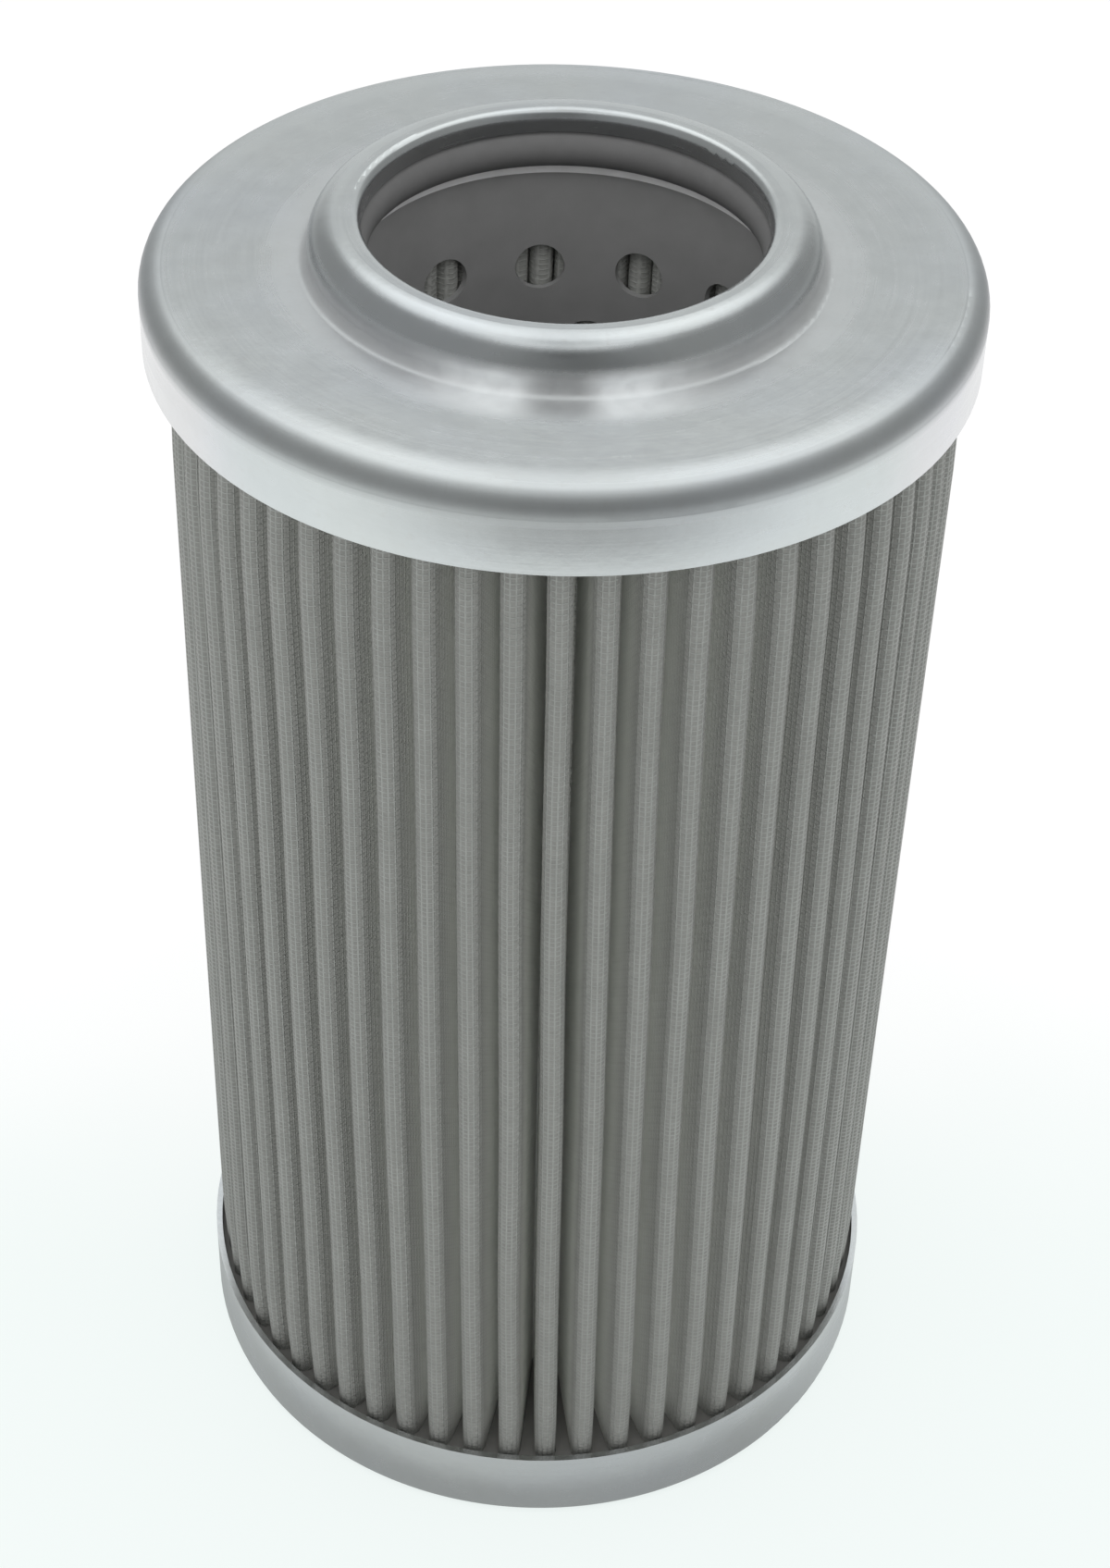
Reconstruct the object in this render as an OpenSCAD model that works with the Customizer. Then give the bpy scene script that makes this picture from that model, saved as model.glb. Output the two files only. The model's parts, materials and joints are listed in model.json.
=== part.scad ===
// Pleated hydraulic filter element: a folded wire-mesh pack on a perforated
// core tube, set in resin between a necked top cap and a closed bottom cap.
// The base rests on z = 0, the axis is z, and the pack's seam is on the +y side.

/* [Element] */
// Height from the base to the flat face of the top cap
body_h = 167.7; // [120:0.1:260]

/* [Caps] */
// Outer diameter of the top cap
cap_d = 94.4; // [90:0.1:110]
// Height of the top cap's skirt, from the flat face to its edge
skirt_h = 9.4; // [8:0.1:14]
// Outer radius of the top cap's pressed corner
cap_corner_r = 2.8; // [2:0.1:4]
// How much smaller the bottom cap is than the top cap, in radius
foot_step = 1; // [0.5:0.1:3]
// Height of the bottom cap's wall
foot_h = 11.6; // [8:0.1:18]
// Outer radius of the bottom cap's pressed corner
foot_corner_r = 1.8; // [1.5:0.1:4]
// Thickness of the plated sheet steel of both caps
cap_sheet = 0.8; // [0.6:0.05:1]

/* [Neck] */
// Diameter of the hole in the neck
neck_bore_d = 45.2; // [38:0.1:50]
// Outer radius of the neck's rounded shoulder
rim_r = 4; // [2:0.1:4.5]
// Radius over which the rim turns down into the hole
lip_r = 1.2; // [1:0.1:2]
// Straight wall of the hole, below the turned lip
lip_land = 1.4; // [0.5:0.1:2]
// Radius of the bend between the neck and the flat face
neck_root_r = 1.2; // [0.6:0.1:2]

/* [Seal] */
// Thickness of the O-ring
seal_cord_d = 5.33; // [4.5:0.01:6]
// How far the O-ring stands proud of the hole, in radius
seal_proud = 0.7; // [0.3:0.05:1]
// Room behind the O-ring, in radius
seal_back_gap = 0.57; // [0.2:0.01:1.5]
// Play of the O-ring on its seat and under the lip
seal_play = 0.05; // [0.02:0.01:0.2]

/* [Seal seat] */
// How far the seat lies below the flat face
seat_drop = 2.25; // [1.5:0.05:3]
// Thickness of the seat ring
seat_sheet = 1; // [0.8:0.05:1.2]
// How much wider the seat's hole is than the neck's, in radius
seat_step = 1.6; // [0:0.1:1.8]
// Length of the seat's sleeve round the end of the core tube
seat_sleeve_h = 1.5; // [1:0.1:3]
// How far the seat's rim lies inside the neck's inner wall, in radius
seat_play = 0.1; // [0.05:0.05:0.3]

/* [Core tube] */
// Step from the inside of the neck to the outside of the core tube
core_step = 1.8; // [1.6:0.1:3]
// Wall of the core tube
core_wall = 0.8; // [0.6:0.05:1.2]
// Diameter of each drain hole
core_hole_d = 6; // [3:0.1:8]
// Distance between neighbouring drain holes
core_hole_pitch = 12; // [10:0.5:20]
// Plain tube left above and below the drain holes
core_plain_end = 12; // [8:0.5:20]
// Play between the core tube and what fits round it
core_play = 0.1; // [0.05:0.05:0.3]

/* [Pleat pack] */
// Thickness of each wire mesh
mesh_t = 0.3; // [0.2:0.01:0.4]
// Thickness of each fleece
fleece_t = 0.12; // [0.08:0.01:0.2]
// Thickness of the glass-fibre filter medium
media_t = 0.46; // [0.3:0.01:0.6]
// Space left inside each fold, on either side of its middle
fold_gap = 0.1; // [0.06:0.01:0.2]
// Space between neighbouring folds where they meet the core tube
root_gap = 0.22; // [0.12:0.01:0.6]
// Play between the pack and the wall of the bottom cap
pack_play = 0.9; // [0.1:0.05:1.2]
// How far the outer tips wander from even spacing, in degrees
tip_wander = 0.6; // [0:0.05:0.7]

/* [Seam clip] */
// Sheet of the clip that closes the pack's seam
clip_sheet = 0.4; // [0.3:0.05:0.5]
// Depth to which the clip grips the two ends of the pack
clip_depth = 6; // [4:0.5:8]
// Play between the clip and the pack
clip_play = 0.05; // [0.03:0.01:0.1]

/* [Resin] */
// Thickness of resin under the pack
bed_h = 2; // [1:0.1:3]
// How far the resin's surface lies inside the edge of each cap
resin_set = 2; // [1:0.1:3]
// Width of the resin's ledge inside the core tube
resin_lap = 0.4; // [0.2:0.1:3]
// Bond line between the resin and the pack
bond_gap = 0.03; // [0.02:0.01:0.05]

/* [Hidden] */
$fn = 96;
cap_r = cap_d / 2;
foot_r = cap_r - foot_step;
neck_bore_r = neck_bore_d / 2;

// Seal, seat and neck, from the seat upwards
seal_mid_r = neck_bore_r - seal_proud + seal_cord_d / 2;
seal_reach = seal_cord_d / 2 + seal_play;
seat_z = body_h - seat_drop;
seat_low_z = seat_z - seat_sheet;
seat_bore_r = neck_bore_r + seat_step;
seal_z = seat_z + seal_reach;
neck_in_r = neck_bore_r - seal_proud + seal_cord_d + seal_back_gap;
neck_r = neck_in_r + cap_sheet;
lip_offset = seal_mid_r - neck_bore_r - cap_sheet;
lip_z = seal_z + sqrt(pow(seal_reach, 2) - pow(lip_offset, 2));
neck_h = lip_z + lip_land + lip_r - body_h;

// Core tube
core_r = neck_in_r - core_step;
core_in_r = core_r - core_wall;

// Pack
pack_low_z = cap_sheet + bed_h;
pack_top_z = seat_low_z - seat_sleeve_h;
pack_h = pack_top_z - pack_low_z;
pack_t = 2 * mesh_t + 2 * fleece_t + media_t;
pack_r = foot_r - cap_sheet - pack_play;
fold_r = pack_t + fold_gap;
mid_r = pack_t / 2 + fold_gap;
tip_c_r = pack_r - fold_r;
root_c_r = core_r + core_play + fold_r;
pleats = floor(2 * PI * root_c_r / (2 * fold_r + root_gap));
pitch = 360 / pleats;
seam_angle = 90;
edge_reach = fold_r - clip_sheet - clip_play;
tip_steps = 4;
root_steps = 2;
wander_step = 23;
half_turn = 180;

// Drain holes
core_h = seat_low_z - pack_low_z;
row_pitch = core_hole_pitch * sin(60);
rows = floor((core_h - 2 * core_plain_end) / row_pitch) + 1;
columns = floor(2 * PI * core_r / core_hole_pitch);
low_row_z = pack_low_z + (core_h - (rows - 1) * row_pitch) / 2;

// A point at one unit from the axis, in the direction of an angle
function unit(a) = [cos(a), sin(a)];

// The same direction as angle x, written within half a turn of angle a
function near(x, a) = a + ((x - a + 7 * half_turn) % (2 * half_turn)) - half_turn;

function arc(c, r, a0, a1, steps) = [for (i = [0 : steps]) c + r * unit(a0 + (a1 - a0) * i / steps)];

// Middles of the outer tips and of the roots at the core tube; tip 0 is the seam
function wander(k) = k % pleats == 0 ? 0 : tip_wander * sin(k * wander_step);
function tip_angle(k) = seam_angle + k * pitch + wander(k);
function root_angle(k) = seam_angle + (k + 0.5) * pitch;
function tip_c(k) = tip_c_r * unit(tip_angle(k));
function root_c(k) = root_c_r * unit(root_angle(k));

// Directions square to the flat legs that leave and reach tip k
function heading(v) = atan2(v.y, v.x);
function swing(v) = acos(2 * mid_r / norm(v));
function leg_out(k) = heading(root_c(k) - tip_c(k)) - swing(root_c(k) - tip_c(k));
function leg_in(k) = heading(root_c(k - 1) - tip_c(k)) + swing(root_c(k - 1) - tip_c(k));

function tip_arc(k, d) = arc(
    tip_c(k), mid_r + d,
    near(leg_in(k), tip_angle(k)), near(leg_out(k), tip_angle(k)), tip_steps
);
function root_arc(k, d) = arc(
    root_c(k), mid_r - d,
    near(leg_out(k) + half_turn, root_angle(k) + half_turn),
    near(leg_in(k + 1) + half_turn, root_angle(k) + half_turn), root_steps
);

// One face of the folded sheet, d outward of the middle of the pack, from seam edge to seam edge
function first_edge(d) =
    tip_c(0) + (mid_r + d) * unit(leg_out(0)) + edge_reach * unit(leg_out(0) - 90);
function last_edge(d) =
    tip_c(pleats) + (mid_r + d) * unit(leg_in(pleats)) + edge_reach * unit(leg_in(pleats) + 90);
function fold_line(d) = concat(
    [first_edge(d)],
    [for (k = [0 : pleats - 1])
        each concat(root_arc(k, d), k < pleats - 1 ? tip_arc(k + 1, d) : [])],
    [last_edge(d)]
);

function reversed(list) = [for (i = [len(list) - 1 : -1 : 0]) list[i]];

// One layer of the pack, between two distances outward of the pack's middle
module layer(low, high) {
    translate([0, 0, pack_low_z])
        linear_extrude(pack_h)
            polygon(concat(fold_line(high), reversed(fold_line(low))));
}

// Half section of a pressed cup with its floor on z = 0
module cup_section(r, h, corner) {
    translate([0, corner]) square([r, h - corner]);
    square([r - corner, h]);
    translate([r - corner, corner]) circle(corner);
}

// Half section of a neck that rises from z = 0, with a round edge and a bent root
module neck_section(r, h, edge, root) {
    square([r, h - edge]);
    square([r - edge, h]);
    translate([r - edge, h - edge]) circle(edge);
    difference() {
        translate([r - root, -root]) square(2 * root);
        translate([r + root, root]) circle(root);
        translate([r - root, -2 * root]) square([3 * root, 2 * root]);
    }
}

module lip_section() {
    intersection() {
        difference() {
            circle(lip_r);
            circle(lip_r - cap_sheet);
        }
        translate([-lip_r, 0]) square(lip_r);
    }
    translate([-lip_r, -lip_land]) square([cap_sheet, lip_land]);
}

module top_cap_form(inset) {
    translate([0, body_h - inset]) {
        mirror([0, 1]) cup_section(cap_r - inset, skirt_h, cap_corner_r - inset);
        neck_section(neck_r - inset, neck_h, rim_r - inset, neck_root_r + inset);
    }
}

module top_end_cap() color([0.72, 0.74, 0.76])
    rotate_extrude() {
        difference() {
            top_cap_form(0);
            top_cap_form(cap_sheet);
            square([neck_bore_r + lip_r, body_h + neck_h + lip_r]);
        }
        translate([neck_bore_r + lip_r, body_h + neck_h - lip_r]) lip_section();
    }

module neck_o_ring() color([0.08, 0.08, 0.08])
    translate([0, 0, seal_z])
        rotate_extrude()
            translate([seal_mid_r, 0]) circle(d = seal_cord_d);

module seal_seat_ring() color([0.66, 0.68, 0.7])
    rotate_extrude() {
        translate([seat_bore_r, seat_low_z])
            square([neck_in_r - seat_play - seat_bore_r, seat_sheet]);
        translate([core_r + core_play, pack_top_z])
            square([seat_sheet, seat_sleeve_h]);
    }

module core_tube() color([0.55, 0.56, 0.57])
    difference() {
        translate([0, 0, pack_low_z])
            rotate_extrude()
                translate([core_in_r, 0]) square([core_wall, core_h]);
        for (row = [0 : rows - 1], column = [0 : columns - 1])
            rotate((column + 0.5 * (row % 2)) * 2 * half_turn / columns)
                translate([core_in_r - core_wall, 0, low_row_z + row * row_pitch])
                    rotate([0, 90, 0]) cylinder(d = core_hole_d, h = 3 * core_wall);
    }

module outer_wire_mesh() color([0.56, 0.56, 0.52])
    layer(pack_t / 2 - mesh_t, pack_t / 2);

module outer_fleece() color([0.93, 0.93, 0.9])
    layer(media_t / 2, media_t / 2 + fleece_t);

module filter_media() color([0.95, 0.94, 0.88])
    layer(-media_t / 2, media_t / 2);

module inner_fleece() color([0.93, 0.93, 0.9])
    layer(-media_t / 2 - fleece_t, -media_t / 2);

module inner_wire_mesh() color([0.56, 0.56, 0.52])
    layer(-pack_t / 2, mesh_t - pack_t / 2);

// Outline of the seam clip, grown by a clearance
module clip_outline(grow) {
    rotate(seam_angle)
        translate([tip_c_r + fold_r - clip_depth - grow, -fold_r - clip_play - clip_sheet - grow])
            square([clip_depth + 2 * grow, 2 * (fold_r + clip_play + clip_sheet + grow)]);
}

module seam_clip() color([0.6, 0.61, 0.62])
    translate([0, 0, pack_low_z])
        linear_extrude(pack_h)
            difference() {
                clip_outline(0);
                rotate(seam_angle)
                    translate([0, -fold_r - clip_play])
                        square([tip_c_r + fold_r - clip_sheet, 2 * (fold_r + clip_play)]);
            }

// What the pack and its seam clip take out of the resin
module pack_room() {
    translate([0, 0, pack_low_z])
        linear_extrude(pack_h) {
            polygon(fold_line(pack_t / 2 + bond_gap));
            clip_outline(bond_gap);
        }
}

module lower_resin() color([0.2, 0.2, 0.19])
    difference() {
        rotate_extrude()
            intersection() {
                translate([0, cap_sheet])
                    cup_section(foot_r - cap_sheet, foot_h, foot_corner_r - cap_sheet);
                translate([core_in_r - resin_lap, cap_sheet])
                    square([foot_r, foot_h - cap_sheet - resin_set]);
            }
        pack_room();
    }

module upper_resin() color([0.2, 0.2, 0.19])
    difference() {
        rotate_extrude()
            difference() {
                translate([0, body_h - cap_sheet])
                    mirror([0, 1])
                        cup_section(cap_r - cap_sheet, skirt_h - cap_sheet - resin_set, cap_corner_r - cap_sheet);
                square([core_r + core_play + seat_sheet, body_h]);
                translate([0, seat_low_z]) square([neck_in_r, body_h]);
            }
        pack_room();
    }

module bottom_end_cap() color([0.72, 0.74, 0.76])
    rotate_extrude()
        difference() {
            cup_section(foot_r, foot_h, foot_corner_r);
            translate([0, cap_sheet]) cup_section(foot_r - cap_sheet, foot_h, foot_corner_r - cap_sheet);
        }

top_end_cap();
neck_o_ring();
seal_seat_ring();
core_tube();
outer_wire_mesh();
outer_fleece();
filter_media();
inner_fleece();
inner_wire_mesh();
seam_clip();
upper_resin();
lower_resin();
bottom_end_cap();
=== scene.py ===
"""Looks of a pleated hydraulic filter element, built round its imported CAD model.

The pack of pleats leans and bulges a little between the caps, as a real one does, so its
layers, the seam clip and the upper resin are rebuilt here through one smooth map, which is
the identity at the bottom cap. All other pieces are the CAD nodes with their materials.
"""

import json
import math

import bmesh
import bpy
from mathutils import Matrix, Vector, noise


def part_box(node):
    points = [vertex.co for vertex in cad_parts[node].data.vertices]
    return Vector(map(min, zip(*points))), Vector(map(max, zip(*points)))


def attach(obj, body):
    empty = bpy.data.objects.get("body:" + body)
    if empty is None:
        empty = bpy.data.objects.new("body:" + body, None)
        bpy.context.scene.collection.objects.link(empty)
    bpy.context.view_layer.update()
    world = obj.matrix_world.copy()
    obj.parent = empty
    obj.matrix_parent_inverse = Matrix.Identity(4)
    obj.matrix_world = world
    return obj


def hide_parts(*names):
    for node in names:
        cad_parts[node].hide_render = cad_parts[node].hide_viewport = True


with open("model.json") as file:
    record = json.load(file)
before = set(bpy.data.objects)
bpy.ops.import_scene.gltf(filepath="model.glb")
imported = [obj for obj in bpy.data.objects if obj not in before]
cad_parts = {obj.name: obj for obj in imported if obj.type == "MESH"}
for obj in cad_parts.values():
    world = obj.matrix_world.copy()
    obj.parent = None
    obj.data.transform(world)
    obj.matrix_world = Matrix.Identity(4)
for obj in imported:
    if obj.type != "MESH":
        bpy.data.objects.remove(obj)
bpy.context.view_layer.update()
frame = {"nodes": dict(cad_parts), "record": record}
nodes = frame["nodes"]

MM = 0.001
TURN = 2 * math.pi

# Sizes read from the frame, in metres, and the sheet of the top cap over the upper resin
CAP_SHEET = 0.8 * MM
PACK_LOW, PACK_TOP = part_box("filter_media")[0].z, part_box("filter_media")[1].z
FACE_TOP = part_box("upper_resin")[1].z + CAP_SHEET
CORE_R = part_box("core_tube")[1].x

# Pleats, with the same rule as the CAD pack
PLEATS = 57
SEAM_ANGLE = math.radians(90)
TIP_WANDER = math.radians(0.6)
WANDER_STEP = math.radians(23)
PITCH = TURN / PLEATS
PACK_T = 1.3 * MM
FOLD_GAP = 0.1 * MM
CORE_PLAY = 0.1 * MM
CLIP_ROOM = 0.45 * MM

# How the pack settled between the caps. HELD_SHARE of its height at each end is held by the
# resin, and SWAY_STRETCH draws the sway out along the pleats.
LEAN = math.radians(-2.76)
SHIFT = 0.5 * MM
SHIFT_CURVE = 1.5
BULGE = 0.55 * MM
SWAY = math.radians(0.5)
SWAY_SCALE = 60.0
SWAY_STRETCH = 0.35
HELD_SHARE = 0.12
OUT_LIMIT = 1.2

# Degrees from which an edge stays sharp, and metres within which vertices are one
SHEET_SHARP = 50
PIECE_SHARP = 35
MERGE = 1e-7


def radius(point):
    return math.hypot(point[0], point[1])


def node_radii(name):
    spans = [radius(v.co) for v in nodes[name].data.vertices]
    return min(spans), max(spans)


PACK_R = node_radii("outer_wire_mesh")[1]
FOLD_R = PACK_T + FOLD_GAP
MID_R = PACK_T / 2 + FOLD_GAP
TIP_C_R = PACK_R - FOLD_R
ROOT_C_R = CORE_R + CORE_PLAY + FOLD_R


# ---------------------------------------------------------------- the folded sheets


def unit(angle):
    return Vector((math.cos(angle), math.sin(angle)))


def heading(v):
    return math.atan2(v.y, v.x)


def near(x, a):
    """Angle x written within half a turn of angle a."""
    return a + (x - a + math.pi) % TURN - math.pi


def wander(k):
    """How far tip k strays from its even place."""
    return 0.0 if k % PLEATS == 0 else TIP_WANDER * math.sin(k * WANDER_STEP)


def tip_angle(k):
    return SEAM_ANGLE + k * PITCH + wander(k)


def root_angle(k):
    return SEAM_ANGLE + (k + 0.5) * PITCH


def tip_c(k):
    return TIP_C_R * unit(tip_angle(k))


def root_c(k):
    return ROOT_C_R * unit(root_angle(k))


def leg_out(k):
    """Heading, seen from tip k, of the point where its arc meets the leg to root k."""
    across = root_c(k) - tip_c(k)
    return heading(across) - math.acos(2 * MID_R / across.length)


def leg_in(k):
    """The same for the leg from root k - 1."""
    across = root_c(k - 1) - tip_c(k)
    return heading(across) + math.acos(2 * MID_R / across.length)


def arc(centre, r, a0, a1, steps):
    return [centre + r * unit(a0 + (a1 - a0) * i / steps) for i in range(steps + 1)]


def tip_arc(k, d, steps):
    a = tip_angle(k)
    return arc(tip_c(k), MID_R + d, near(leg_in(k), a), near(leg_out(k), a), steps)


def root_arc(k, d, steps):
    a = root_angle(k) + math.pi
    start, end = leg_out(k) + math.pi, leg_in(k + 1) + math.pi
    return arc(root_c(k), MID_R - d, near(start, a), near(end, a), steps)


def fold_line(d, tip_steps, root_steps):
    """One face of the folded sheet, d outward of the middle of the pack, edge to edge."""
    reach = FOLD_R - CLIP_ROOM
    a, b = leg_out(0), leg_in(PLEATS)
    line = [tip_c(0) + (MID_R + d) * unit(a) + reach * unit(a - math.pi / 2)]
    for k in range(PLEATS):
        line += root_arc(k, d, root_steps)
        if k < PLEATS - 1:
            line += tip_arc(k + 1, d, tip_steps)
    line.append(tip_c(PLEATS) + (MID_R + d) * unit(b) + reach * unit(b + math.pi / 2))
    return line


# ---------------------------------------------------------------- how the pack settled


def clamped(x, high=1.0):
    return min(max(x, 0.0), high)


def smooth(x):
    x = clamped(x)
    return x * x * (3 - 2 * x)


def settled(p):
    """Where a point of the ideal pack lies in the real one: it leans, bulges and sways."""
    r, a = radius(p), math.atan2(p[1], p[0])
    t = clamped((p[2] - PACK_LOW) / (PACK_TOP - PACK_LOW))
    out = clamped((r - CORE_R) / (PACK_R - CORE_R), OUT_LIMIT) ** 2
    free = smooth(t / HELD_SHARE) * smooth((1 - t) / HELD_SHARE)
    spot = Vector((r * math.cos(a), r * math.sin(a), SWAY_STRETCH * p[2]))
    a += LEAN * t + SWAY * noise.noise(spot * SWAY_SCALE) * free * out
    r += BULGE * out * free
    return Vector((r * math.cos(a) + SHIFT * t ** SHIFT_CURVE, r * math.sin(a), p[2]))


def new_object(name, mesh):
    obj = bpy.data.objects.new(name, mesh)
    bpy.context.scene.collection.objects.link(obj)
    return obj


def shade(mesh, angle):
    mesh.shade_smooth()
    mesh.set_sharp_from_angle(angle=math.radians(angle))


def folded_sheet(name, low, high, tip_steps, root_steps, levels):
    """A closed folded sheet between two distances outward of the pack's middle."""
    outer = fold_line(high, tip_steps, root_steps)
    inner = fold_line(low, tip_steps, root_steps)[::-1]
    ring = outer + inner
    n, half = len(ring), len(outer)
    run = [0.0]
    for p, q in zip(outer, outer[1:]):
        run.append(run[-1] + (q - p).length)
    across = run + run[::-1]
    verts, faces = [], []
    for level in range(levels + 1):
        z = PACK_LOW + (PACK_TOP - PACK_LOW) * level / levels
        verts += [settled((p.x, p.y, z)) for p in ring]
    for level in range(levels):
        below, above = level * n, (level + 1) * n
        for i in range(n):
            j = (i + 1) % n
            faces.append((below + i, below + j, above + j, above + i))
    top = levels * n
    for i in range(half - 1):
        a, b, c, d = i, i + 1, n - 2 - i, n - 1 - i
        faces.append((d, c, b, a))
        faces.append((top + a, top + b, top + c, top + d))
    mesh = bpy.data.meshes.new(name)
    mesh.from_pydata(verts, [], faces)
    layer = mesh.uv_layers.new(name="cloth")
    for loop in mesh.loops:
        i = loop.vertex_index % n
        layer.data[loop.index].uv = (across[i], verts[loop.vertex_index].z)
    mesh.validate()
    shade(mesh, SHEET_SHARP)
    return new_object(name, mesh)


def settled_copy(node, name, levels):
    """A CAD node of the pack, cut into levels and carried through the same map."""
    bm = bmesh.new()
    bm.from_mesh(nodes[node].data)
    low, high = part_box(node)[0].z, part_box(node)[1].z
    for i in range(1, levels):
        z = low + (high - low) * i / levels
        every = bm.verts[:] + bm.edges[:] + bm.faces[:]
        bmesh.ops.bisect_plane(bm, geom=every, plane_co=(0, 0, z), plane_no=(0, 0, 1), dist=MERGE)
    for v in bm.verts:
        v.co = settled(v.co)
    bmesh.ops.remove_doubles(bm, verts=bm.verts[:], dist=MERGE)
    mesh = bpy.data.meshes.new(name)
    bm.to_mesh(mesh)
    bm.free()
    shade(mesh, PIECE_SHARP)
    return new_object(name, mesh)


# ---------------------------------------------------------------- material helpers


class Nodes:
    """A material's node tree, with short calls to add and join nodes."""

    def __init__(self, name):
        self.material = bpy.data.materials.new(name)
        self.material.use_nodes = True
        self.tree = self.material.node_tree
        self.tree.nodes.clear()
        self.output = self.tree.nodes.new("ShaderNodeOutputMaterial")

    def add(self, kind, *inputs, **settings):
        node = self.tree.nodes.new("ShaderNode" + kind)
        for key, value in settings.items():
            setattr(node, key, value)
        self.fill(node.inputs, inputs)
        return node

    def put(self, socket, value):
        if isinstance(value, bpy.types.NodeSocket):
            self.tree.links.new(value, socket)
        elif isinstance(value, bpy.types.Node):
            self.tree.links.new(value.outputs[0], socket)
        else:
            socket.default_value = value

    def fill(self, sockets, values):
        for socket, value in zip(sockets, values):
            self.put(socket, value)

    def fill_named(self, node, **values):
        for key, value in values.items():
            self.put(node.inputs[key.replace("_", " ")], value)

    def math(self, operation, *values):
        return self.add("Math", *values, operation=operation).outputs[0]

    def plus(self, a, b):
        return self.math("ADD", a, b)

    def minus(self, a, b):
        return self.math("SUBTRACT", a, b)

    def times(self, a, b):
        return self.math("MULTIPLY", a, b)

    def least(self, a, b):
        return self.math("MINIMUM", a, b)

    def most(self, a, b):
        return self.math("MAXIMUM", a, b)

    def absolute(self, a):
        return self.math("ABSOLUTE", a)

    def spread(self, value, low, high, to_low=0.0, to_high=1.0, kind="LINEAR"):
        """Goes from to_low to to_high as value goes from low to high, and no further."""
        node = self.add("MapRange", value, low, high, to_low, to_high, interpolation_type=kind)
        return node.outputs[0]

    def ease(self, value, low, high, to_low=0.0, to_high=1.0):
        """The same with soft ends."""
        return self.spread(value, low, high, to_low, to_high, kind="SMOOTHSTEP")

    def mix(self, factor, a, b, blend="MIX"):
        node = self.add("Mix", data_type="RGBA", blend_type=blend)
        self.fill((node.inputs[0], node.inputs[6], node.inputs[7]), (factor, a, b))
        return node.outputs[2]

    def place(self):
        """Object coordinates in millimetres: x, y, z, distance from the axis and angle."""
        where = self.add("TexCoord").outputs["Object"]
        scaled = self.add("VectorMath", where, operation="SCALE")
        self.put(scaled.inputs["Scale"], 1 / MM)
        x, y, z = self.add("SeparateXYZ", scaled).outputs
        r = self.math("SQRT", self.plus(self.times(x, x), self.times(y, y)))
        a = self.math("ARCTAN2", y, x)
        return {"at": scaled.outputs[0], "x": x, "y": y, "z": z, "r": r, "a": a}

    def from_front(self, p):
        """Degrees round the axis from the front, more to the right."""
        return self.math("DEGREES", self.math("ARCTAN2", p["x"], self.times(p["y"], -1.0)))

    def noise(self, at, scale, detail=2.0, roughness=0.5):
        node = self.add("TexNoise", noise_dimensions="3D")
        self.fill_named(node, Vector=at, Scale=scale, Detail=detail, Roughness=roughness)
        return node.outputs["Fac"]

    def bump(self, height, strength, distance):
        node = self.add("Bump")
        self.fill_named(node, Height=height, Strength=strength, Distance=distance)
        return node.outputs["Normal"]

    def emission(self, colour):
        node = self.add("Emission")
        self.put(node.inputs["Color"], colour)
        return node

    def out(self, shader):
        self.tree.links.new(shader.outputs[0], self.output.inputs[0])
        return self.material

    def surface(self, **inputs):
        shader = self.add("BsdfPrincipled")
        self.fill_named(shader, **inputs)
        return self.out(shader)


def grey(v, tint=(1.0, 1.0, 1.0)):
    return (v * tint[0], v * tint[1], v * tint[2], 1.0)


# ---------------------------------------------------------------- materials

# A range is from and to, and what it gives at each end where that isn't 0 and 1. Places are
# in millimetres, turns in degrees from the front. A noise is its scale per millimetre, its
# detail and its roughness. A bump is its strength and its distance in metres.
FULL = (0.0, 1.0)

# Plated sheet
ZINC = ((0.985, 1.0, 1.01), (0.99, 1.0, 1.005))
ZINC_LEVELS = (0.93, 1.06)
SPOT_LEVEL = 0.96
ZINC_BLUE = (0.985, 0.99, 1.015, 1.0)
MOTTLE = (0.22, 4.0, 0.6)
SPOTS = (1.4, 3.0, 0.6)
SPUN = (1.0, 3.0, 0.7)
BLUE_SCALE = 0.055
SPUN_ACROSS, SPUN_ROUND = 2.2, 0.8
SPOT_RANGE = (0.55, 0.75)
BLUE_RANGE = (0.42, 0.7)
SPUN_ROUGH = (0.3, 0.7, 0.18, 0.24)
MOTTLE_ROUGH, CORNER_ROUGH, FILM_ROUGH = 0.08, 0.26, 0.3
SPUN_HEIGHT, MOTTLE_HEIGHT, CROWN_HEIGHT, BELLY_HEIGHT = 0.22, 1.6, 9.0, 5.0
PLATED_BUMP = (0.25, 0.1 * MM)
FACE_Z = FACE_TOP / MM
CORNER_R = (43.5, 46.5)
CORNER_Z = (FACE_Z - 3.8, FACE_Z - 2.6)
CROWN_R = (41.5, 44.6)
SKIRT_Z = (FACE_Z - 9.6, FACE_Z - 2.6, -1.0, 0.75)

# Film in the corner at the neck's root, and painted reflection in two pale patches beside the
# front
NECK_ROOT_R = 29.2
FILM_THIN = grey(0.42, (0.97, 1.0, 1.0))
# Colour of the painted reflection patches
REFLECTION_PATCH_COLOUR = grey(0.8, (0.965, 1.0, 1.01))
FILM_COVERS = 0.85
FILM_REACH = (1.1, 2.4, 1.0, 0.0)
FILM_OUTWARD = (-0.01, 0.01, 1.0, 0.45)
FILM_UPWARD = 0.72
FILM_AMOUNT = (0.0, 2.5, 0.45, 0.2)
REFLECTION_PATCH_AMOUNT = 0.45
REFLECTION_PATCH_STARTS = (2.0, 11.0)
REFLECTION_PATCH_ENDS = (14.0, 40.0, 1.0, 0.0)
FILM_CLOUD_SCALE = 0.5
FILM_CLOUDS = (0.3, 0.6, 0.75, 1.0)
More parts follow.
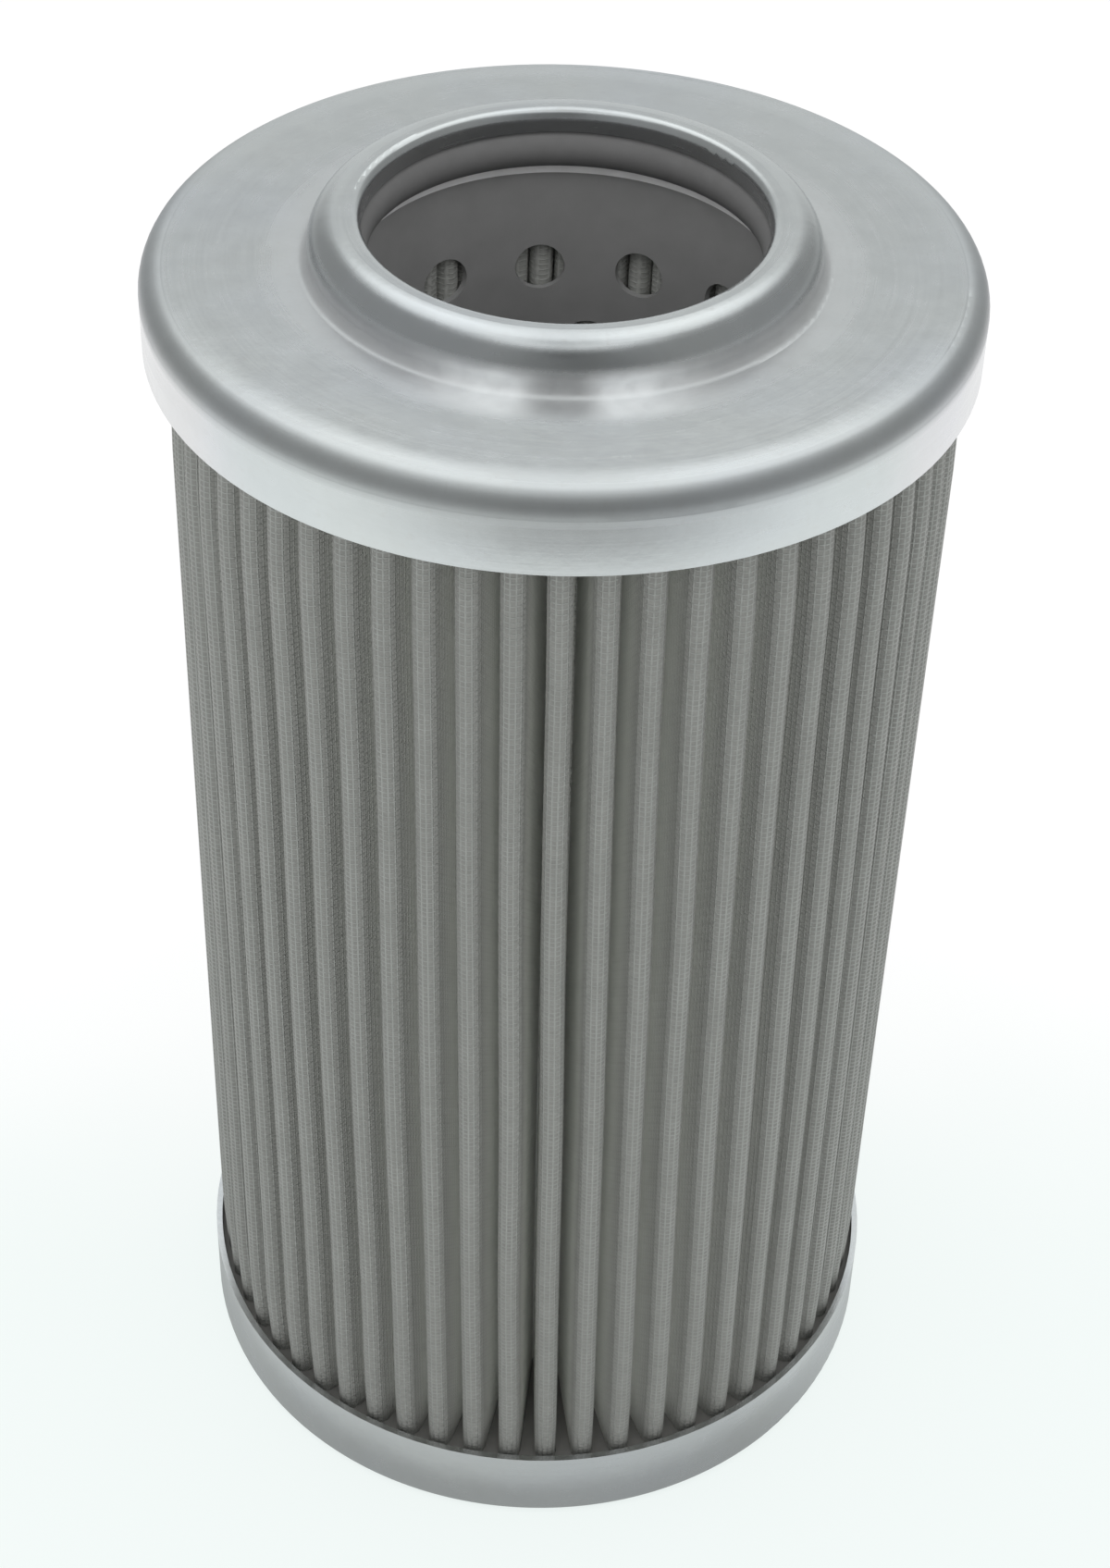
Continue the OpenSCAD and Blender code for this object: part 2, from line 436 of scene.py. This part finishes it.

# Wire cloth: shares of the pitch, painted shade in its holes, and painted light deep in the folds
WIRE_PITCH = 0.7 * MM
WIRE_HALF = 0.16
WIRE_ROUND = 38.0
WIRE_SWING = 0.4
WIRE_TINT = ((0.98, 1.0, 0.95), (0.98, 1.0, 0.96))
WIRE_LEVELS = (0.9, 1.25)
# Painted shade in the holes, where the fleece behind shows
HOLE_TINT = (0.98, 1.0, 0.94)
HOLE_SHADE_LEVELS = (0.55, 0.85)
CLOTH_CLOUD = (0.16, 3.0, 0.6)
CLOTH_GRAIN = 0.9
CLOTH_METAL = (*FULL, 0.55, 0.0)
CLOTH_ROUGH = (*FULL, 0.8, 0.46)
CLOTH_BUMP = (0.6, 0.12 * MM)
# Painted light deep in the folds: where it fades in, and its colour
FOLD_LIGHT_DEPTH = (38.8, 45.1, 1.0, 0.0)
FOLD_LIGHT_COLOUR = grey(0.88, WIRE_TINT[0])

# The rest
STEEL_CLOUD = (0.3, 3.0, 0.6)
STEEL_GRAIN = 3.0
STEEL_LEVELS = (0.85, 1.1)
STEEL_CLOUDS = (0.2, 0.8)
STEEL_ROUGH = (0.85, 1.2)
STEEL_BUMP = (0.2, 0.05 * MM)
RUBBER_COLOURS = (grey(0.14), grey(0.17))
RUBBER_CLOUD, RUBBER_GRAIN = 0.5, 6.0
RUBBER_ROUGH = 0.7
RUBBER_BUMP = (0.15, 0.03 * MM)
STRANDS = (4.0, 4.0, 0.7)
STRAND_LEVELS = (0.86, 1.0)
FIBRE_ROUGH = 0.9
FIBRE_BUMP = (0.5, 0.1 * MM)
POOLS = (0.35, 3.0)
POTTING_TINT = (1.0, 0.99, 0.94)
POTTING_COLOURS = (grey(0.16, POTTING_TINT), grey(0.24, POTTING_TINT))
POTTING_ROUGH = (0.3, 0.7, 0.35, 0.55)
POTTING_BUMP = (0.4, 0.4 * MM)


def neck_film_and_reflection(n, p):
    """How much dull film lies in the corner between the neck and the flat face.

    It also gives two pale patches, left and right of the front, that are painted reflection.
    """
    past_root = n.minus(p["r"], NECK_ROOT_R)
    outward = n.times(n.absolute(past_root), n.spread(past_root, *FILM_OUTWARD))
    upward = n.times(n.absolute(n.minus(p["z"], FACE_Z)), FILM_UPWARD)
    reach = n.ease(n.most(upward, outward), *FILM_REACH)
    turned = n.absolute(n.from_front(p))
    # Painted reflection: pale patches left and right of the front, none at the very front
    painted_reflection = n.times(n.ease(turned, *REFLECTION_PATCH_STARTS), n.ease(turned, *REFLECTION_PATCH_ENDS))
    amount = n.plus(n.spread(past_root, *FILM_AMOUNT), n.times(painted_reflection, REFLECTION_PATCH_AMOUNT))
    cloudy = n.spread(n.noise(p["at"], FILM_CLOUD_SCALE), *FILM_CLOUDS)
    return n.times(n.times(reach, amount), cloudy), painted_reflection


def plated_sheet(name, level):
    """Zinc-plated pressed sheet: cool and glossy, faintly mottled, with fine spun marks.

    The bump also gives the face its low crown at the edge and the skirt its slight belly.
    """
    n = Nodes(name)
    p = n.place()
    mottle = n.noise(p["at"], *MOTTLE)
    spots = n.noise(p["at"], *SPOTS)
    across, up = n.times(p["r"], SPUN_ACROSS), n.times(p["z"], SPUN_ACROSS)
    rings = n.add("CombineXYZ", across, n.times(p["a"], SPUN_ROUND), up)
    spun = n.noise(rings.outputs[0], *SPUN)
    # A dull film at the neck's root, with painted reflection patches in front
    film_and_reflection, painted_reflection = neck_film_and_reflection(n, p)

    dark, pale = (grey(level * share, tint) for share, tint in zip(ZINC_LEVELS, ZINC))
    colour = n.mix(mottle, dark, pale)
    colour = n.mix(n.spread(spots, *SPOT_RANGE), colour, grey(level * SPOT_LEVEL))
    blue = n.spread(n.noise(p["at"], BLUE_SCALE), *BLUE_RANGE)
    colour = n.mix(blue, colour, ZINC_BLUE, blend="MULTIPLY")
    # Film colour, paler where the painted reflection patches lie
    colour = n.mix(film_and_reflection, colour, n.mix(painted_reflection, FILM_THIN, REFLECTION_PATCH_COLOUR))

    corner = n.times(n.ease(p["r"], *CORNER_R), n.spread(p["z"], *CORNER_Z))
    rough = n.plus(n.spread(spun, *SPUN_ROUGH), n.times(mottle, MOTTLE_ROUGH))
    rough = n.plus(rough, n.times(corner, CORNER_ROUGH))
    rough = n.plus(rough, n.times(film_and_reflection, FILM_ROUGH))

    marks = n.plus(n.times(spun, SPUN_HEIGHT), n.times(mottle, MOTTLE_HEIGHT))
    crown = n.math("POWER", n.spread(p["r"], *CROWN_R), 2.0)
    middle = n.spread(p["z"], *SKIRT_Z)
    belly = n.times(middle, middle)
    sunk = n.plus(n.times(crown, CROWN_HEIGHT), n.times(belly, BELLY_HEIGHT))
    return n.surface(
        Base_Color=colour, Metallic=n.minus(1.0, n.times(film_and_reflection, FILM_COVERS)), Roughness=rough,
        Normal=n.bump(n.minus(marks, sunk), *PLATED_BUMP),
    )


def wires(n, along, beside):
    """Height of the wires that run along one way, round and weaving over the others.

    It also gives 1 on a wire and 0 in the gap between two.
    """
    side = n.absolute(n.minus(n.math("FRACT", beside), 0.5))
    curve = n.least(1.0, n.times(n.times(side, side), WIRE_ROUND))
    round_top = n.math("SQRT", n.minus(1.0, curve))
    row = n.math("FLOOR", beside)
    swing = n.math("COSINE", n.times(n.plus(along, row), math.pi))
    on = n.math("LESS_THAN", side, WIRE_HALF)
    return n.times(on, n.plus(round_top, n.times(n.plus(swing, 1.0), WIRE_SWING))), on


def woven_wire(name, level, pale):
    """Plain-woven steel wire seen as cloth: wires over and under, with painted shade in the holes.

    Deep in the folds it is paler and less metallic: painted light where the folds light each
    other.
    """
    n = Nodes(name)
    u, v, _ = n.add("SeparateXYZ", n.add("UVMap", uv_map="cloth")).outputs
    u, v = (n.math("DIVIDE", run, WIRE_PITCH) for run in (u, v))
    warp, warp_on = wires(n, v, u)
    weft, weft_on = wires(n, n.plus(u, 1.0), v)
    height = n.most(warp, weft)
    cover = n.most(warp_on, weft_on)

    p = n.place()
    dark, light = (grey(level * share, tint) for share, tint in zip(WIRE_LEVELS, WIRE_TINT))
    wire_colour = n.mix(n.noise(p["at"], *CLOTH_CLOUD), dark, light)
    # Painted shade: the holes show the fleece behind, darkened as if shaded by the wires
    dark, light = (grey(level * share, HOLE_TINT) for share in HOLE_SHADE_LEVELS)
    hole_shade_colour = n.mix(n.noise(p["at"], CLOTH_GRAIN), dark, light)
    colour = n.mix(cover, hole_shade_colour, wire_colour)
    # Painted light: paler deep in the folds
    fold_light_mask = n.ease(p["r"], *FOLD_LIGHT_DEPTH)
    return n.surface(
        Base_Color=n.mix(n.times(fold_light_mask, pale), colour, FOLD_LIGHT_COLOUR),
        Metallic=n.times(cover, n.spread(fold_light_mask, *CLOTH_METAL)),
        Roughness=n.spread(cover, *CLOTH_ROUGH),
        Normal=n.bump(height, *CLOTH_BUMP),
    )


def steel(name, level, roughness, metallic=1.0):
    """Plain steel sheet, faintly clouded; roughness is that of its middle shade."""
    n = Nodes(name)
    p = n.place()
    cloud = n.noise(p["at"], *STEEL_CLOUD)
    dark, light = (grey(level * share) for share in STEEL_LEVELS)
    smoother, rougher = (roughness * share for share in STEEL_ROUGH)
    return n.surface(
        Base_Color=n.mix(cloud, dark, light), Metallic=metallic,
        Roughness=n.spread(cloud, *STEEL_CLOUDS, smoother, rougher),
        Normal=n.bump(n.noise(p["at"], STEEL_GRAIN), *STEEL_BUMP),
    )


def rubber(name):
    """Dark, dull rubber with a fine grain."""
    n = Nodes(name)
    p = n.place()
    return n.surface(
        Base_Color=n.mix(n.noise(p["at"], RUBBER_CLOUD), *RUBBER_COLOURS), Roughness=RUBBER_ROUGH,
        Normal=n.bump(n.noise(p["at"], RUBBER_GRAIN), *RUBBER_BUMP),
    )


def fibre(name, colour):
    """Matted fibres, darker between the strands."""
    n = Nodes(name)
    p = n.place()
    strands = n.noise(p["at"], *STRANDS)
    dark, light = (grey(share, colour) for share in STRAND_LEVELS)
    return n.surface(
        Base_Color=n.mix(strands, dark, light), Roughness=FIBRE_ROUGH,
        Normal=n.bump(strands, *FIBRE_BUMP),
    )


def potting(name):
    """Cast resin in slightly uneven pools."""
    n = Nodes(name)
    p = n.place()
    pools = n.noise(p["at"], *POOLS)
    return n.surface(
        Base_Color=n.mix(pools, *POTTING_COLOURS),
        Roughness=n.spread(pools, *POTTING_ROUGH),
        Normal=n.bump(pools, *POTTING_BUMP),
    )


MATERIALS = {
    "plated_cap": plated_sheet("plated_cap", 0.7),
    "seal_rubber": rubber("seal_rubber"),
    "seat_steel": steel("seat_steel", 0.9, 0.45, 0.1),
    "core_steel": steel("core_steel", 0.4, 0.6, 0.2),
    # For the wire cloth, the last number is how much painted light pales it deep in the folds
    "wire_mesh": woven_wire("wire_mesh", 0.325, 0.9),
    "inner_wire": woven_wire("inner_wire", 0.3, 0.3),
    "fleece": fibre("fleece", (0.8, 0.8, 0.74)),
    "glass_media": fibre("glass_media", (0.84, 0.82, 0.72)),
    "clip_steel": steel("clip_steel", 0.5, 0.35),
    "resin": potting("resin"),
}


def dress(obj, look):
    obj.data.materials.clear()
    obj.data.materials.append(MATERIALS[look])


for part in frame["record"]["subparts"]:
    dress(nodes[part["node"]], part["material_slot"])


def stand_in(piece, node, slot, look=None):
    """The piece stands for a CAD node, in the material of its slot or in a look of its own."""
    dress(piece, look or slot)
    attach(piece, "root")
    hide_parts(node)


# ---------------------------------------------------------------- the pack

# CAD node, name of its piece, slot, material, and how finely tips, roots and height are cut
LAYERS = (
    ("outer_wire_mesh", "woven_outer_mesh", "wire_mesh", "wire_mesh", 10, 4, 44),
    ("outer_fleece", "outer_fleece_layer", "fleece", "fleece", 4, 2, 24),
    ("filter_media", "media_layer", "glass_media", "glass_media", 4, 2, 24),
    ("inner_fleece", "inner_fleece_layer", "fleece", "fleece", 4, 2, 24),
    ("inner_wire_mesh", "woven_inner_mesh", "wire_mesh", "inner_wire", 6, 4, 24),
)
CLIP_LEVELS = 24
RESIN_LEVELS = 1

for node, name, slot, look, tip_steps, root_steps, levels in LAYERS:
    low_r, high_r = node_radii(node)
    high = high_r - TIP_C_R - MID_R
    low = low_r - ROOT_C_R + MID_R
    sheet = folded_sheet(name, low, high, tip_steps, root_steps, levels)
    stand_in(sheet, node, slot, look)

stand_in(settled_copy("seam_clip", "seam_clip_strip", CLIP_LEVELS), "seam_clip", "clip_steel")
stand_in(settled_copy("upper_resin", "upper_potting", RESIN_LEVELS), "upper_resin", "resin")


# ---------------------------------------------------------------- camera

# Fitted to the photograph: radians, metres, and millimetres for the lens and its sensor
CAMERA_PITCH, CAMERA_YAW, CAMERA_ROLL = 0.7063, 0.0023, 0.0308
CAMERA_AT = (0, -0.2894, 0.3374)
LENS = 68.47
SENSOR = 36.0
NEAREST_SEEN = 0.01


def add_camera():
    """The camera stands in front of the element and looks down on it at about 40 degrees."""
    pitch, yaw, roll = CAMERA_PITCH, CAMERA_YAW, CAMERA_ROLL
    axis = Vector((0, 0, 1))
    right = Vector((math.cos(yaw), -math.sin(yaw), 0))
    ahead = Vector((math.sin(yaw), math.cos(yaw), 0))
    view = math.cos(pitch) * ahead - math.sin(pitch) * axis
    up = math.sin(pitch) * ahead + math.cos(pitch) * axis
    x = math.cos(roll) * right + math.sin(roll) * up
    y = math.cos(roll) * up - math.sin(roll) * right
    data = bpy.data.cameras.new("camera")
    data.sensor_fit = "VERTICAL"
    data.sensor_height = SENSOR
    data.lens = LENS
    data.clip_start = NEAREST_SEEN
    camera = bpy.data.objects.new("camera", data)
    camera.matrix_world = Matrix((x, y, -view)).transposed().to_4x4()
    camera.location = CAMERA_AT
    bpy.context.scene.collection.objects.link(camera)
    bpy.context.scene.camera = camera


# ---------------------------------------------------------------- floor, backdrop and light

# Floor: what the camera sees, what lights the object, and what the plating mirrors
FLOOR_SIZE = 4.0
FLOOR_FRONT = (0.875, 0.938, 0.922, 1.0)
FLOOR_BACK = (1.0, 1.0, 1.0, 1.0)
BACK_STARTS = (20.0, 110.0)
BACK_CLOUD_SCALE, BACK_CLOUD = 0.01, 60.0
FLOOR_LIGHTS, FLOOR_SHADES = grey(0.85), grey(0.15)
FLOOR_SEEN = 0.87
FLOOR_MIRRORED = 0.93
# Painted shadow in what the plating mirrors: a contact shadow by the foot and a shadow in front
FOOT_SHADOW_RISE = (49.5, 53.5, 0.36, 0.62)
FOOT_SHADOW_END = (62.0, 120.0, 0.0, 0.38)
LEFT_END = (-75.0, -35.0, 1.2, 1.0)
RIGHT_END = (30.0, 65.0, 1.0, 1.5)
FRONT_SHADOW_WAY = 7.0
FRONT_SHADOW = (0.0, 66.0, 0.13, 0.97)
SKIRT_MIRRORS_R = 278.0
BEFORE_SKIRT = (-50.0, -6.0, 0.95, 0.0)
PAST_SKIRT = (6.0, 60.0, 0.0, 0.45)
FAR_FLOOR = (380.0, 800.0, 1.0, 0.4)

# Ball of surroundings: heights are degrees above its middle, ways degrees from the front
BALL_RADIUS = 0.8
BALL_HEIGHT = 0.17
BALL_CUTS = (48, 24)
BALL_TINT = (0.955, 1.0, 0.995, 1.0)
ROOM_DARK_WAY = 9.0
ROOM_DARK = (0.0, 45.0, 0.17, 0.3)
ROOM_LIT = 1.1
CEILING_FRONT = (0.0, 90.0, 90.0, 70.0)
CEILING_BACK = (95.0, 160.0, 69.0, 27.0)
CEILING_EDGE = (-12.0, 12.0)
CEILING_TOP = (76.0, 90.0, 1.0, 0.4)
HORIZON = (-4.0, 4.0, 1.0, 0.0)
HORIZON_GLOW = 0.1
WALL_WAY = (135.0, 165.0)
WALL_RISE = (33.0, 46.0, 0.5, 1.35)
WALL_LOW = (25.0, 30.0, 0.2, 0.0)
WALL_TOP = (76.0, 90.0, 1.0, 0.45)
BEAM_X = (30.0, 80.0, 1.0, 0.0)
BEAM_HEIGHT = (34.0, 44.0)
BEAM_DARK = 0.3

LAMP_AT = (0, -0.22, 0.68)
LAMP_AIM = (0, 0, 0.15)
LAMP_SIZE = 0.35
LAMP_RADIANCE = 1.5


def seen_by(n):
    """1 for camera, glossy and transmission rays and 0 for those that light; 1 for camera rays."""
    rays = n.add("LightPath").outputs
    traced = n.most(rays["Is Glossy Ray"], rays["Is Transmission Ray"])
    return n.most(rays["Is Camera Ray"], traced), rays["Is Camera Ray"]


def floor_material():
    """Pale floor, white at the back and faintly cool in front, that keeps a soft shadow.

    The plating mirrors it with painted shadow: darker close to the foot, and in front on the ring
    that the middle of the skirt mirrors.
    """
    n = Nodes("floor")
    p = n.place()
    cloudy_y = n.plus(p["y"], n.times(n.noise(p["at"], BACK_CLOUD_SCALE), BACK_CLOUD))
    colour = n.mix(n.ease(cloudy_y, *BACK_STARTS), FLOOR_FRONT, FLOOR_BACK)
    seen, camera = seen_by(n)
    turned = n.minus(n.from_front(p), FRONT_SHADOW_WAY)

    # Painted contact shadow, darker close to the foot
    painted_foot_shadow = n.plus(n.ease(p["r"], *FOOT_SHADOW_RISE), n.ease(p["r"], *FOOT_SHADOW_END))
    ends = n.times(n.ease(turned, *LEFT_END), n.ease(turned, *RIGHT_END))
    painted_foot_shadow = n.least(n.times(ends, painted_foot_shadow), 1.0)

    # Painted shadow in front, on the ring that the middle of the skirt mirrors
    ahead = n.ease(n.absolute(turned), *FRONT_SHADOW)
    past = n.minus(p["r"], SKIRT_MIRRORS_R)
    off = n.plus(n.ease(past, *BEFORE_SKIRT), n.ease(past, *PAST_SKIRT))
    ahead = n.times(n.mix(off, ahead, grey(1.0)), n.spread(p["r"], *FAR_FLOOR))

    mirrored = n.times(painted_foot_shadow, n.times(ahead, FLOOR_MIRRORED))
    mirrored = n.times(n.minus(seen, camera), mirrored)
    glow = n.emission(colour)
    n.put(glow.inputs["Strength"], n.plus(mirrored, n.times(camera, FLOOR_SEEN)))
    lit = n.add("BsdfDiffuse", n.mix(seen, FLOOR_LIGHTS, FLOOR_SHADES))
    return n.out(n.add("AddShader", lit, glow))


def add_floor():
    mesh = bpy.data.meshes.new("floor")
    s = FLOOR_SIZE / 2
    mesh.from_pydata([(-s, -s, 0), (s, -s, 0), (s, s, 0), (-s, s, 0)], [], [(0, 1, 2, 3)])
    floor = new_object("floor", mesh)
    mesh.materials.append(floor_material())


def surroundings_material():
    """What the plating mirrors: a grey wall behind, a dark room in front and a bright ceiling."""
    n = Nodes("surroundings")
    p = n.place()
    rise = n.minus(p["z"], BALL_HEIGHT / MM)
    height = n.math("DEGREES", n.math("ARCTAN2", rise, p["r"]))
    way = n.from_front(p)
    side = n.absolute(way)

    gloom = n.ease(n.absolute(n.minus(way, ROOM_DARK_WAY)), *ROOM_DARK)
    ceiling_from = n.least(n.spread(side, *CEILING_FRONT), n.spread(side, *CEILING_BACK))
    lit = n.ease(n.minus(height, ceiling_from), *CEILING_EDGE)
    lit = n.times(lit, n.spread(height, *CEILING_TOP))
    low = n.ease(height, *HORIZON)
    room = n.plus(n.spread(lit, *FULL, gloom, ROOM_LIT), n.times(low, HORIZON_GLOW))

    wall = n.plus(n.ease(height, *WALL_RISE), n.spread(height, *WALL_LOW))
    wall = n.times(wall, n.spread(height, *WALL_TOP))
    level = n.mix(n.ease(side, *WALL_WAY), room, wall)

    beam = n.times(n.ease(n.absolute(p["x"]), *BEAM_X), n.ease(height, *BEAM_HEIGHT))
    level = n.mix(n.times(beam, BEAM_DARK), level, grey(0.0))
    return n.out(n.emission(n.mix(1.0, level, BALL_TINT, blend="MULTIPLY")))


def add_surroundings():
    """A ball round the set that only its reflections show."""
    bm = bmesh.new()
    across, up = BALL_CUTS
    bmesh.ops.create_uvsphere(bm, u_segments=across, v_segments=up, radius=BALL_RADIUS)
    bmesh.ops.translate(bm, verts=bm.verts[:], vec=(0, 0, BALL_HEIGHT))
    mesh = bpy.data.meshes.new("surroundings")
    bm.to_mesh(mesh)
    bm.free()
    ball = new_object("surroundings", mesh)
    mesh.materials.append(surroundings_material())
    ball.visible_camera = False
    ball.visible_diffuse = False
    ball.visible_shadow = False
    ball.visible_transmission = False


def add_world():
    world = bpy.data.worlds.new("studio")
    bpy.context.scene.world = world
    world.use_nodes = True
    background = world.node_tree.nodes["Background"]
    background.inputs["Color"].default_value = (1.0, 1.0, 1.0, 1.0)
    background.inputs["Strength"].default_value = 1.0


def add_lamp():
    """A square soft lamp of a set radiance; the plating mirrors the surroundings instead."""
    data = bpy.data.lights.new("overhead", "AREA")
    data.size = LAMP_SIZE
    data.energy = LAMP_RADIANCE * math.pi * LAMP_SIZE * LAMP_SIZE
    lamp = bpy.data.objects.new("overhead", data)
    lamp.location = LAMP_AT
    lamp.rotation_euler = (Vector(LAMP_AIM) - Vector(LAMP_AT)).to_track_quat("-Z", "Y").to_euler()
    lamp.visible_glossy = False
    bpy.context.scene.collection.objects.link(lamp)


add_camera()
add_floor()
add_world()
add_surroundings()
add_lamp()
bpy.context.scene.view_settings.view_transform = "Standard"
